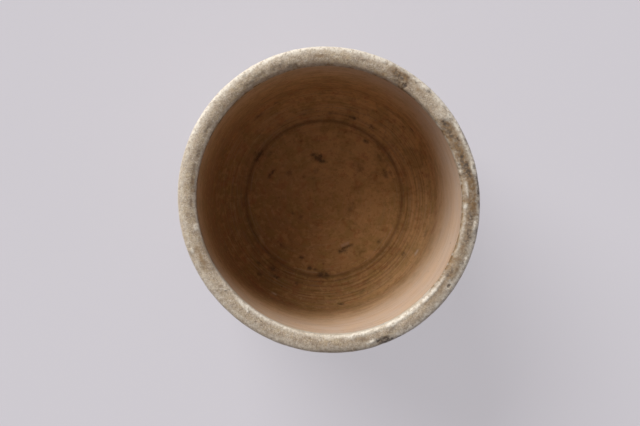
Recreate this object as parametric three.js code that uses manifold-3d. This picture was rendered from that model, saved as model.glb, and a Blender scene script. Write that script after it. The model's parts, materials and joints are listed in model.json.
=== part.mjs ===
// Tripod incense burner: a wheel-thrown cylindrical bowl with a thick rounded mouth, a separately
// thrown disc luted into its floor, and three press-moulded cloud feet luted under its lower corner.
// Millimetres, +Z up. The origin is on the table, under the middle of the bowl, which opens upwards.

import * as THREE from "three";
import { mergeVertices } from "three/addons/utils/BufferGeometryUtils.js";
import Module from "manifold-3d";

const wasm = await Module();
wasm.setup();

// Driving dimensions of the bowl.
const overallHeight = 108;
const mouthRadius = 70; // mean outside radius of the mouth
const rimWidth = 8.2; // the annulus seen from above
const rimOuterRound = 3;
const rimInnerRound = 1.6;
const rimBandHeight = 9; // the thickened band under the mouth
const rimBandStep = 2; // how far the band stands out from the wall below it
const wallFootRadius = 66; // outside radius where the wall meets its lower corner
const outerCornerRadius = 7;
const footClearHeight = 11; // from the table to the underside of the bowl
const floorThickness = 9;
const wallFootThickness = 7.2; // where the wall meets the curve of the floor
const innerCornerRadius = 15;

// Three pairs of turned string ribs: under the rim's band, above the lower corner, and midway.
const topPairDrop = 11; // from the band's foot down to the middle of the top pair
const lowPairRise = 15; // from the lower corner up to the middle of the low pair
const ribPairSpacing = 4.4;
const ribHalfHeight = 1.1;
const ribStand = 0.9;

// The floor disc lies in a rebate, and a narrow groove is left round it.
const discThickness = 5;
const floorLedge = 0.75; // the flat ring of the bowl's own floor, outside the groove
const seatWidth = 5.5; // the ledge that the disc lies on
const grooveWidth = 1.1;
const grooveDepth = 1;

// A luted joint keeps this much slip between its two clay faces.
const lutingGap = 0.3;

// The mouth went slightly oval in the kiln. The foot of the wall stayed round.
const mouthOvality = 0.014; // half the difference of the long and short radius, as a share of the mean
const longAxisDegrees = 121; // anticlockwise from +X, seen from above
const warpStart = 40; // below this height the wall is round

// The feet.
const footDirections = { foot_front: -90, foot_right: 30, foot_left: 150 }; // degrees from +X
const footPadHalfWidth = 10.5;
const footPadDepth = 15.5; // along the bowl's radius
const footPadInset = 0.5; // from the wall's outside in to the front of the pad
const footWaistHalfWidth = 8;
const footWaistHeight = 5.5;
const footLobeRadius = 6.4; // the two side lobes of the cloud head
const footLobeOffset = 9.6; // from the foot's middle to each side lobe's middle
const footLobeRise = 4.5; // from the underside of the bowl up to each side lobe's middle
const footCrownRadius = 7.6; // the middle lobe
const footCrownRise = 9.5; // from the underside of the bowl up to its middle
const footKneeStand = 3; // how far the cloud head stands out from the wall
const footKneeRise = 4; // from the underside of the bowl up to the knee
const footTopInset = 1.5; // the cloud head's top edge, inside the knee

// How finely round shapes are cut.
const roundSegments = 60;
const outerRoundSteps = 4;
const rimInnerSteps = 3;
const innerCornerSteps = 6;
const curveSteps = 5;
const mergeDistance = 1e-4;

// Heights and radii that follow from the values above.
const undersideHeight = footClearHeight;
const floorHeight = undersideHeight + floorThickness;
const innerFootRadius = wallFootRadius - wallFootThickness;
const flatFloorRadius = innerFootRadius - innerCornerRadius;
const seatRadius = flatFloorRadius - floorLedge - grooveWidth / 2;
const discRadius = seatRadius - lutingGap;
const seatHeight = floorHeight - discThickness - lutingGap;
const seatBoreRadius = discRadius - seatWidth;
const mouthInnerRadius = mouthRadius - rimWidth;
const wallTopRadius = mouthRadius - rimBandStep;
const wallTopHeight = overallHeight - rimBandHeight - rimBandStep;
const wallFootHeight = undersideHeight + outerCornerRadius;
const lowPairHeight = wallFootHeight + lowPairRise;
const topPairHeight = wallTopHeight - topPairDrop;
const ribPairHeights = [lowPairHeight, (lowPairHeight + topPairHeight) / 2, topPairHeight];
const footPadOuterRadius = wallFootRadius - footPadInset;
const footPadInnerRadius = footPadOuterRadius - footPadDepth;
const footLobeHeight = undersideHeight + footLobeRise;
const footCrownHeight = undersideHeight + footCrownRise;
const footKneeRadius = wallFootRadius + footKneeStand;
const footKneeHeight = undersideHeight + footKneeRise;
const footTopHeight = footCrownHeight + footCrownRadius;

const glaze = { color: 0xd9d0bd, roughness: 0.35, metalness: 0 };
const bareClay = { color: 0xb98d68, roughness: 0.9, metalness: 0 };

// Points along an arc in the (radius, height) plane, both ends included. Angles are in degrees.
function arc(centreRadius, centreHeight, radius, from, to, steps = outerRoundSteps) {
  const points = [];
  for (let i = 0; i <= steps; i += 1) {
    const angle = THREE.MathUtils.degToRad(from + ((to - from) * i) / steps);
    points.push(
      new THREE.Vector2(centreRadius + radius * Math.cos(angle), centreHeight + radius * Math.sin(angle)),
    );
  }
  return points;
}

// Outside radius of the plain wall at a height.
function wallRadiusAt(height) {
  const share = (height - wallFootHeight) / (wallTopHeight - wallFootHeight);
  return THREE.MathUtils.lerp(wallFootRadius, wallTopRadius, share);
}

// The lower corner and wall of the bowl's outside, moved out by a clearance.
function lowerCorner(clearance) {
  return arc(
    wallFootRadius - outerCornerRadius,
    wallFootHeight,
    outerCornerRadius + clearance,
    -90,
    0,
  );
}

function ribPoints() {
  const points = [];
  for (const pairHeight of ribPairHeights) {
    for (const side of [-1, 1]) {
      const middle = pairHeight + (side * ribPairSpacing) / 2;
      points.push(
        new THREE.Vector2(wallRadiusAt(middle - ribHalfHeight), middle - ribHalfHeight),
        new THREE.Vector2(wallRadiusAt(middle) + ribStand, middle),
        new THREE.Vector2(wallRadiusAt(middle + ribHalfHeight), middle + ribHalfHeight),
      );
    }
  }
  return points;
}

// The bowl's section, anticlockwise from the bore under the disc: underside, outside, mouth,
// inside and rebate.
function bowlSection() {
  const points = [
    new THREE.Vector2(seatBoreRadius, undersideHeight),
    ...lowerCorner(0),
    ...ribPoints(),
    new THREE.Vector2(wallTopRadius, wallTopHeight),
    new THREE.Vector2(mouthRadius, wallTopHeight + rimBandStep),
    ...arc(mouthRadius - rimOuterRound, overallHeight - rimOuterRound, rimOuterRound, 0, 90),
    ...arc(
      mouthInnerRadius + rimInnerRound,
      overallHeight - rimInnerRound,
      rimInnerRound,
      90,
      180,
      rimInnerSteps,
    ),
    ...arc(
      flatFloorRadius,
      floorHeight + innerCornerRadius,
      innerCornerRadius,
      0,
      -90,
      innerCornerSteps,
    ),
    new THREE.Vector2(seatRadius + grooveWidth / 2, floorHeight),
    new THREE.Vector2(seatRadius, floorHeight - grooveDepth),
    new THREE.Vector2(seatRadius, seatHeight),
    new THREE.Vector2(seatBoreRadius, seatHeight),
  ];
  points.push(points[0].clone());
  return points;
}

// A solid of revolution about +Z.
function turned(points) {
  const geometry = new THREE.LatheGeometry(points, roundSegments);
  geometry.rotateX(Math.PI / 2);
  return geometry;
}

// Pulls the upper wall oval, the more so the nearer it is to the mouth.
function warpMouth(geometry) {
  const position = geometry.getAttribute("position");
  const longAxis = THREE.MathUtils.degToRad(longAxisDegrees);
  for (let i = 0; i < position.count; i += 1) {
    const x = position.getX(i);
    const y = position.getY(i);
    const share = Math.max(0, (position.getZ(i) - warpStart) / (overallHeight - warpStart));
    const swell = 1 + mouthOvality * share * Math.cos(2 * (Math.atan2(y, x) - longAxis));
    position.setXY(i, x * swell, y * swell);
  }
  return geometry;
}

function solidOf(geometry) {
  const bare = geometry.index ? geometry.toNonIndexed() : geometry.clone();
  bare.deleteAttribute("normal");
  bare.deleteAttribute("uv");
  const merged = mergeVertices(bare, mergeDistance);
  return new wasm.Manifold(
    new wasm.Mesh({
      numProp: 3,
      vertProperties: merged.getAttribute("position").array,
      triVerts: new Uint32Array(merged.index.array),
    }),
  );
}

function geometryOf(solid) {
  const mesh = solid.getMesh();
  const geometry = new THREE.BufferGeometry();
  geometry.setAttribute("position", new THREE.BufferAttribute(mesh.vertProperties, mesh.numProp));
  geometry.setIndex(new THREE.BufferAttribute(mesh.triVerts, 1));
  geometry.computeVertexNormals();
  return geometry;
}

function bowlGeometry() {
  return warpMouth(turned(bowlSection()));
}

function discGeometry() {
  const lowest = seatHeight + lutingGap;
  const edge = [
    new THREE.Vector2(0, lowest),
    new THREE.Vector2(discRadius, lowest),
    new THREE.Vector2(discRadius, floorHeight - grooveDepth),
    new THREE.Vector2(discRadius - grooveWidth / 2, floorHeight),
    new THREE.Vector2(0, floorHeight),
  ];
  return turned(edge);
}

// The bowl's outside below the feet's tops, grown by the luting gap, which cuts each foot to its seat.
function seatCutter() {
  const above = footTopHeight + footCrownRadius;
  const outline = [
    new THREE.Vector2(0, undersideHeight - lutingGap),
    ...lowerCorner(lutingGap),
    new THREE.Vector2(wallRadiusAt(above) + lutingGap, above),
    new THREE.Vector2(0, above),
  ];
  return solidOf(turned(outline));
}

// The foot seen from outside: a pad, a waist and a three-lobed cloud head. X runs across it and Y up it.
function footFront() {
  const lobe = footLobeOffset;
  const shape = new THREE.Shape();
  shape.moveTo(-footPadHalfWidth, 0);
  shape.lineTo(footPadHalfWidth, 0);
  shape.quadraticCurveTo(
    footWaistHalfWidth,
    footWaistHeight / 2,
    footWaistHalfWidth,
    footWaistHeight,
  );
  shape.quadraticCurveTo(
    footWaistHalfWidth,
    footLobeHeight - footLobeRadius,
    lobe,
    footLobeHeight - footLobeRadius,
  );
  shape.absarc(lobe, footLobeHeight, footLobeRadius, -Math.PI / 2, Math.PI / 2, false);
  shape.absarc(0, footCrownHeight, footCrownRadius, 0, Math.PI, false);
  shape.absarc(-lobe, footLobeHeight, footLobeRadius, Math.PI / 2, (3 * Math.PI) / 2, false);
  shape.quadraticCurveTo(
    -footWaistHalfWidth,
    footLobeHeight - footLobeRadius,
    -footWaistHalfWidth,
    footWaistHeight,
  );
  shape.quadraticCurveTo(-footWaistHalfWidth, footWaistHeight / 2, -footPadHalfWidth, 0);
  return shape;
}

// The foot seen from its side. X runs outwards from the bowl's axis and Y up.
function footSide() {
  const shape = new THREE.Shape();
  shape.moveTo(footPadInnerRadius, 0);
  shape.lineTo(footPadOuterRadius, 0);
  shape.quadraticCurveTo(footPadOuterRadius, footWaistHeight, footKneeRadius, footKneeHeight);
  shape.quadraticCurveTo(
    footKneeRadius,
    footTopHeight - footTopInset,
    footKneeRadius - footTopInset,
    footTopHeight,
  );
  shape.lineTo(footPadInnerRadius, footTopHeight);
  return shape;
}

// One foot, standing in the +X direction from the bowl's axis.
function footGeometry() {
  const front = new THREE.ExtrudeGeometry(footFront(), {
    depth: footKneeRadius,
    bevelEnabled: false,
    curveSegments: curveSteps,
  });
  front.rotateX(Math.PI / 2);
  front.rotateZ(Math.PI / 2);
  const width = 2 * (footLobeOffset + footLobeRadius);
  const side = new THREE.ExtrudeGeometry(footSide(), {
    depth: width,
    bevelEnabled: false,
    curveSegments: curveSteps,
  });
  side.rotateX(Math.PI / 2);
  side.translate(0, width / 2, 0);
  return geometryOf(solidOf(front).intersect(solidOf(side)).subtract(seatCutter()));
}

function piece(name, geometry, finish) {
  const mesh = new THREE.Mesh(geometry, new THREE.MeshStandardMaterial(finish));
  mesh.name = name;
  return mesh;
}

const burner = new THREE.Group();
burner.add(piece("bowl_body", bowlGeometry(), glaze));
burner.add(piece("floor_disc", discGeometry(), bareClay));
const foot = footGeometry();
for (const [name, direction] of Object.entries(footDirections)) {
  const placed = piece(name, foot, glaze);
  placed.rotation.z = THREE.MathUtils.degToRad(direction);
  burner.add(placed);
}

export default burner;
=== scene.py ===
import json
import math

import bmesh
import bpy
import numpy as np
from bpy.props import FloatProperty, FloatVectorProperty, IntProperty, PointerProperty
from mathutils import Matrix, Vector, noise


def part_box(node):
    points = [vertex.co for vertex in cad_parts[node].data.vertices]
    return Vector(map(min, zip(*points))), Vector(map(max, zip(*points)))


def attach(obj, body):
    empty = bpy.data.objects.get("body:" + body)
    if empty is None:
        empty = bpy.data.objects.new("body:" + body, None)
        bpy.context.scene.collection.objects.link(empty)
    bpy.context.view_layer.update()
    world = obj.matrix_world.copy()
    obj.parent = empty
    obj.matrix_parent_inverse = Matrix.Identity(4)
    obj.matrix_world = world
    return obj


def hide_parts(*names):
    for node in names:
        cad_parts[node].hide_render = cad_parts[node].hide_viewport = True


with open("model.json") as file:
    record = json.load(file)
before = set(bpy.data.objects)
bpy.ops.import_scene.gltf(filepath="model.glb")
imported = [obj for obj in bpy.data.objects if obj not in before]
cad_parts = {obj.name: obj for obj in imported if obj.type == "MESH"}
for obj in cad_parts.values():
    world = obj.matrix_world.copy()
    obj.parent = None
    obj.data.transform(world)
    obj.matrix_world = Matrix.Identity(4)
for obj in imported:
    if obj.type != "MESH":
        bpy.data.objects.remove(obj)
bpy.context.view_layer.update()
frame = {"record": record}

bl_info = {
    "name": "Tripod Incense Burner",
    "version": (1, 0, 0),
    "blender": (4, 5, 0),
    "location": "View3D > Sidebar > Burner",
    "description": "A thrown stoneware burner with worn ivory glaze, standing on three cloud feet",
    "category": "Add Mesh",
}

MM = 0.001
FULL_TURN = 2 * math.pi
BODY = "root"
GLAZE_SLOT = "ivory_glaze"
CLAY_SLOT = "bare_clay"
FOOT_NODES = ("foot_front", "foot_right", "foot_left")

bowl_low, bowl_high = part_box("bowl_body")
disc_low, disc_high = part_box("floor_disc")
foot_low, foot_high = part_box("foot_front")
mount_places = {mount["name"]: mount["pos_m"] for mount in frame["record"]["mounts"]}


def linear(colour):
    """An sRGB hex colour as the linear values that Blender works with."""
    channels = [int(colour[i : i + 2], 16) / 255 for i in (0, 2, 4)]
    return tuple(c / 12.92 if c <= 0.04045 else ((c + 0.055) / 1.055) ** 2.4 for c in channels)


def length(name, description, default):
    return FloatProperty(name=name, description=description, default=default, unit="LENGTH", precision=5)


def angle(name, description, degrees):
    return FloatProperty(name=name, description=description, default=math.radians(degrees), subtype="ANGLE")


def colour(name, description, default):
    return FloatVectorProperty(
        name=name, description=description, default=linear(default), subtype="COLOR", size=3, min=0, max=1
    )


class BurnerBowlSizes(bpy.types.PropertyGroup):
    """The thrown bowl: its wall, mouth and floor."""

    mouth_radius: length(
        "Mouth radius",
        "Mean outside radius of the mouth",
        (bowl_high.x - bowl_low.x + bowl_high.y - bowl_low.y) / 4,
    )
    rim_width: length("Rim width", "Width of the rim seen from above", 8.5 * MM)
    rim_outer_round: length("Outer round", "Radius of the rim's outer edge", 1.7 * MM)
    rim_inner_round: length("Inner round", "Radius of the rim's inner edge", 1.6 * MM)
    rim_dome: length("Rim dome", "How far the middle of the rim stands over its edges", 0.9 * MM)
    band_height: length("Band height", "Height of the thick band under the mouth", 9.0 * MM)
    band_step: length("Band step", "How far the band stands out from the wall", 2.0 * MM)
    wall_foot_radius: length("Wall foot radius", "Outside radius above the lower corner", 66.0 * MM)
    wall_foot_thickness: length("Wall thickness", "Thickness of the wall at the floor's curve", 7.2 * MM)
    outer_corner: length("Outer corner", "Radius of the lower corner outside", 7.0 * MM)
    inner_corner: length("Inner corner", "Radius of the curve between wall and floor", 15.0 * MM)
    seat_width: length("Seat width", "Width of the ledge that the floor disc rests on", 5.5 * MM)
    rib_spacing: length("Rib spacing", "Distance between the two ribs of a pair", 4.4 * MM)
    rib_stand: length("Rib stand", "How far a rib stands out", 0.9 * MM)
    rib_half_width: length("Rib half width", "Half the width of a rib", 0.8 * MM)
    top_pair_drop: length("Top ribs", "From the band's foot to the top pair", 13.0 * MM)
    low_pair_rise: length("Low ribs", "From the lower corner to the low pair", 15.0 * MM)
    warp: FloatProperty(
        name="Kiln warp", description="How oval the mouth is, as a share of its radius", default=0.014
    )
    warp_direction: angle("Warp direction", "Where the long axis points, from +X", 121)
    warp_start: length("Warp start", "Below this height the wall is round", 40.0 * MM)
    clay_steps: IntProperty(name="Clay steps", description="Facets round the clay", default=384)
    wall_steps: IntProperty(name="Wall steps", description="Facets round the wall's glaze", default=480)
    rim_steps: IntProperty(name="Rim steps", description="Facets round the rim's glaze", default=960)


class BurnerFootSizes(bpy.types.PropertyGroup):
    """A cloud foot, seen from the front and from the side."""

    pad_half_width: length("Pad half width", "Half the width of the pad", 10.5 * MM)
    pad_front: length("Pad front", "From the bowl's axis to the pad's front", 65.5 * MM)
    back: length("Back", "From the bowl's axis to the foot's back", 50.0 * MM)
    waist_half_width: length("Waist half width", "Half the width of the waist", 8.0 * MM)
    waist_height: length("Waist height", "Height of the waist", 5.5 * MM)
    lobe_radius: length("Lobe radius", "Radius of the side lobes", 6.4 * MM)
    lobe_offset: length("Lobe offset", "From the middle to a side lobe", 9.6 * MM)
    lobe_height: length("Lobe height", "Height of the side lobes", 15.5 * MM)
    crown_radius: length("Crown radius", "Radius of the top lobe", 7.6 * MM)
    crown_height: length("Crown height", "Height of the top lobe", 20.5 * MM)
    knee_radius: length("Knee radius", "From the bowl's axis to the knee", 69.0 * MM)
    knee_height: length("Knee height", "Height of the knee", 15.0 * MM)
    top_inset: length("Top inset", "How far the top lies behind the knee", 1.5 * MM)
    edge_round: length("Edge round", "Radius of the front's edge", 1.8 * MM)
    scroll_inset: length("Scroll inset", "From the edge to the cut line", 2.1 * MM)
    scroll_depth: length("Scroll depth", "Depth of the cut lines", 0.65 * MM)
    grain: length("Grain", "Distance between the points of the pressed clay", 0.42 * MM)


class BurnerGlazeLook(bpy.types.PropertyGroup):
    """The coat of glaze and how the years have marked it."""

    thickness: length("Thickness", "Thickness of the glaze", 0.45 * MM)
    ivory: colour("Ivory", "Clean glaze", "d6cdbe")
    honey: colour("Honey", "Warm clouds where the glaze is thick", "bfa87e")
    worn: colour("Worn", "Glaze rubbed dull on the rim", "bfac92")
    ash: colour("Ash", "Grey-brown wear on the rim", "8b7764")
    # Rust is also laid as painted shade along the rim's inner round on the side that lies in shade
    rust: colour("Rust", "Iron stain where the glaze is thin", "92744f")
    soot: colour("Soot", "Dirt in the pits and the crackle", "54473a")
    # Cream is also laid as a painted highlight along the rim's outer edge
    cream: colour("Cream", "Thick pale beads of glaze", "efe5d3")
    crackle_size: length("Crackle size", "Width of a crackle cell", 3.4 * MM)
    roughness: FloatProperty(name="Roughness", description="Roughness of clean glaze", default=0.32)
    worn_roughness: FloatProperty(
        name="Worn roughness", description="Roughness of rubbed glaze", default=0.6
    )


class BurnerClayLook(bpy.types.PropertyGroup):
    """The unglazed clay."""

    buff: colour("Buff", "Clean fired clay", "c5ac95")
    # Besides its own patches, this browned clay colour is laid as painted shade, higher up the wall on the
    # side in the rim's shadow
    toasted_and_shade_brown: colour("Toasted", "Clay browned by flame and ash", "d1a26a")
    # Painted shade: this darkest brown darkens the floor and the foot of the wall low down on one side
    painted_shade_umber: colour("Umber", "The darkest of the smoke", "8b6034")
    olive: colour("Olive", "Greenish streaks in the toasted clay", "8c7038")
    russet: colour("Russet", "Reddish streaks in the clay", "9c5f38")
    # Char also darkens the finger grooves, as their dirt and as painted shade
    char: colour("Char", "Dirt gathered in grooves and round the disc", "62421f")
    iron: colour("Iron", "Specks of iron and soot in the clay", "33230f")
    roughness: FloatProperty(name="Roughness", description="Roughness of the bare clay", default=0.88)


class BurnerStageLook(bpy.types.PropertyGroup):
    """The floor, the lamp and the camera."""

    floor_size: length("Floor size", "Side of the floor", 6.0)
    floor_colour: colour("Floor", "Pale grey of the floor", "e2dee4")
    lens: FloatProperty(name="Lens", description="Focal length in millimetres", default=60.0)
    distance: length("Distance", "From the rim's plane to the camera", 488 * MM)
    lamp_elevation: angle("Lamp elevation", "Height of the lamp over the rim's plane", 31)
    lamp_azimuth: angle("Lamp azimuth", "Where the lamp stands, from +X", 126)
    lamp_softness: angle("Lamp softness", "How wide the lamp looks from the burner", 44)
    lamp_strength: FloatProperty(name="Lamp strength", description="Strength of the soft lamp", default=3.3)
    fill_strength: FloatProperty(name="Fill", description="Strength of the light all round", default=0.26)


# Turned outlines


def arc(centre, radius, start, end, spacing):
    """Points along an arc in the (radius, height) plane, with both its ends. Angles in degrees."""
    steps = max(2, round(abs(math.radians(end - start)) * radius / spacing))
    angles = [math.radians(start + (end - start) * i / steps) for i in range(steps + 1)]
    return [(centre[0] + radius * math.cos(a), centre[1] + radius * math.sin(a)) for a in angles]


def line(start, end, spacing):
    """Points along a straight stretch, with both its ends."""
    steps = max(1, round(math.dist(start, end) / spacing))
    shares = [i / steps for i in range(steps + 1)]
    return [tuple(s + (e - s) * share for s, e in zip(start, end)) for share in shares]


# The back of a coat of glaze lies this deep in the clay, and has one point to this many of the coat's
BACK_DEPTH = 0.9 * MM
BACK_STEP = 6
# Points closer than this are one
SAME_POINT = 1e-6


class Outline:
    """A section of (radius, height) points in named stretches, run anticlockwise."""

    def __init__(self):
        self.points = []
        self.names = []

    def add(self, name, points):
        """Adds a named stretch. A point that repeats the last one is dropped."""
        for point in points:
            if not self.points or math.dist(point, self.points[-1]) > SAME_POINT:
                self.points.append(point)
                self.names.append(name)

    def measure(self, closed):
        """Sets the distance along the outline and the outward normal, at each of its points."""
        at = np.array(self.points)
        if closed:
            tangents = np.roll(at, -1, 0) - np.roll(at, 1, 0)
        else:
            tangents = np.gradient(at, axis=0)
        tangents /= np.linalg.norm(tangents, axis=1)[:, None]
        self.closed = closed
        self.along = np.concatenate([[0], np.cumsum(np.linalg.norm(np.diff(at, axis=0), axis=1))])
        self.normals = np.column_stack([tangents[:, 1], -tangents[:, 0]])

    def back_in_clay(self):
        """Measures a coat of glaze and closes it with a back that lies in the clay and has fewer points."""
        self.measure(closed=False)
        back = (np.array(self.points) - BACK_DEPTH * self.normals)[::-1]
        kept = [tuple(point) for point in back[:-1:BACK_STEP]] + [tuple(back[-1])]
        self.add("buried", kept)
        self.along = np.append(self.along, np.zeros(len(kept)))
        self.normals = np.vstack([self.normals, np.zeros((len(kept), 2))])
        self.closed = True


# A sixteenth of the full turn is spun, then doubled this many times
DOUBLINGS = 4
# Edges that fold more sharply than this look sharp
SHARP_FOLD = math.radians(55)


def spin_outline(name, outline, steps):
    """Turns a measured outline round the vertical axis. Each vertex keeps the number of its ring."""
    bm = bmesh.new()
    ring = bm.verts.layers.int.new("ring")
    verts = []
    for i, (radius, height) in enumerate(outline.points):
        vert = bm.verts.new((radius, 0, height))
        vert[ring] = i
        verts.append(vert)
    following = verts[1:] + verts[:1] if outline.closed else verts[1:]
    edges = [bm.edges.new(pair) for pair in zip(verts, following)]
    wedges = 2**DOUBLINGS
    bmesh.ops.spin(
        bm, geom=verts + edges, cent=(0, 0, 0), axis=(0, 0, 1), dvec=(0, 0, 0),
        angle=FULL_TURN / wedges, steps=round(steps / wedges), use_merge=False, use_duplicate=False,
    )
    for i in reversed(range(DOUBLINGS)):
        copied = bmesh.ops.duplicate(bm, geom=bm.verts[:] + bm.edges[:] + bm.faces[:])["geom"]
        turned = [part for part in copied if isinstance(part, bmesh.types.BMVert)]
        turn = Matrix.Rotation(FULL_TURN / 2 ** (i + 1), 3, "Z")
        bmesh.ops.rotate(bm, verts=turned, cent=(0, 0, 0), matrix=turn)
    bmesh.ops.remove_doubles(bm, verts=bm.verts, dist=SAME_POINT)
    bmesh.ops.recalc_face_normals(bm, faces=bm.faces)
    return finished(name, bm)


def finished(name, bm):
    """A smooth-shaded object from a bmesh, at the origin."""
    mesh = bpy.data.meshes.new(name)
    bm.to_mesh(mesh)
    bm.free()
    mesh.shade_smooth()
    mesh.set_sharp_from_angle(angle=SHARP_FOLD)
    made = bpy.data.objects.new(name, mesh)
    bpy.context.scene.collection.objects.link(made)
    return made


def coordinates(mesh):
    flat = np.empty(len(mesh.vertices) * 3, np.float32)
    mesh.vertices.foreach_get("co", flat)
    return flat.reshape(-1, 3).astype(float)


def set_coordinates(mesh, at):
    mesh.vertices.foreach_set("co", at.astype(np.float32).ravel())
    mesh.update()


def store_stains(mesh, soot, rust, cream):
    """Keeps how much soot, rust and cream lies on each vertex, for the materials to read. Some of the rust
    is painted shade and some of the cream a painted highlight.
    """
    shares = np.clip(np.column_stack([soot, rust, cream, np.ones(len(soot))]), 0, 1)
    stains = mesh.attributes.new("stains", "FLOAT_COLOR", "POINT")
    stains.data.foreach_set("color", shares.astype(np.float32).ravel())


# Uneven surfaces


# Each octave of the lumps is finer than the one before by this factor, and lower by this power of it
OCTAVE_STEP = 2.0
OCTAVE_FALL = 1.0


def lumps(at, size, octaves=1):
    """Noise of about -1 to 1 at each point, with lumps of about this size."""
    places = [Vector(place) for place in at / size]
    return np.array([noise.fractal(place, OCTAVE_FALL, OCTAVE_STEP, octaves) for place in places])


# The marks of turning run on round the wheel as they climb, by this many radians a metre
CLIMB = 270
# They wobble along the outline once a turn, by this much and from this angle in radians
WOBBLE = 0.5 * MM
WOBBLE_START = 0.8


def wheel_lines(points, size):
    """Noise drawn out round the wheel: fine along the outline and slow round it."""
    across = (points.along + WOBBLE * np.sin(points.theta - WOBBLE_START)) / size
    climbed = points.theta + CLIMB * points.along
    places = np.column_stack([np.cos(climbed), np.sin(climbed), across])
    return np.array([noise.noise(Vector(place)) for place in places])


# Layers of unevenness, each a height and a size in millimetres and, for some lumps, a number of octaves
WALL_LINES = ((0.10, 2.6), (0.05, 1.0))
WALL_LUMPS = ((0.25, 38), (0.03, 1.4, 2))
DISC_LINES = ((0.05, 2.8), (0.02, 1.1))
DISC_LUMPS = ((0.14, 9, 2), (0.05, 2, 2))
GLAZE_LUMPS = ((0.05, 3.2, 2), (0.06, 11))
RIM_LUMPS = ((0.06, 1.5, 2), (0.10, 6))


def layered(kind, places, layers):
    """Adds up layers of one kind of unevenness, in millimetres."""
    return sum(height * kind(places, size * MM, *octaves) for height, size, *octaves in layers)


def smooth(low, high, value):
    """0 at low, 1 at high and a smooth step between."""
    share = np.clip((value - low) / (high - low), 0, 1)
    return share * share * (3 - 2 * share)


def angle_away(theta, start, end):
    """How far angles lie outside the stretch from start to end. The two ends are in degrees, and the rest
    is in radians."""
    middle = math.radians((start + end) / 2)
    half = math.radians(abs(end - start) / 2)
    away = np.abs((theta - middle + math.pi) % FULL_TURN - math.pi)
    return np.clip(away - half, 0, None)


class TurnedPoints:
    """The vertices of a turned piece before it is sculpted."""

    def __init__(self, mesh, outline):
        rings = np.empty(len(mesh.vertices), np.int32)
        mesh.attributes["ring"].data.foreach_get("value", rings)
        mesh.attributes.remove(mesh.attributes["ring"])
        self.at = coordinates(mesh)
        self.theta = np.arctan2(self.at[:, 1], self.at[:, 0])
        self.radius = np.hypot(self.at[:, 0], self.at[:, 1])
        self.height = self.at[:, 2]
        self.along = outline.along[rings]
        self.normals = outline.normals[rings]
        self.names = np.array(outline.names)[rings]

    def on(self, *names):
        """1 where a vertex lies on one of these stretches of the outline, and 0 elsewhere."""
        return np.isin(self.names, names).astype(float)
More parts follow.
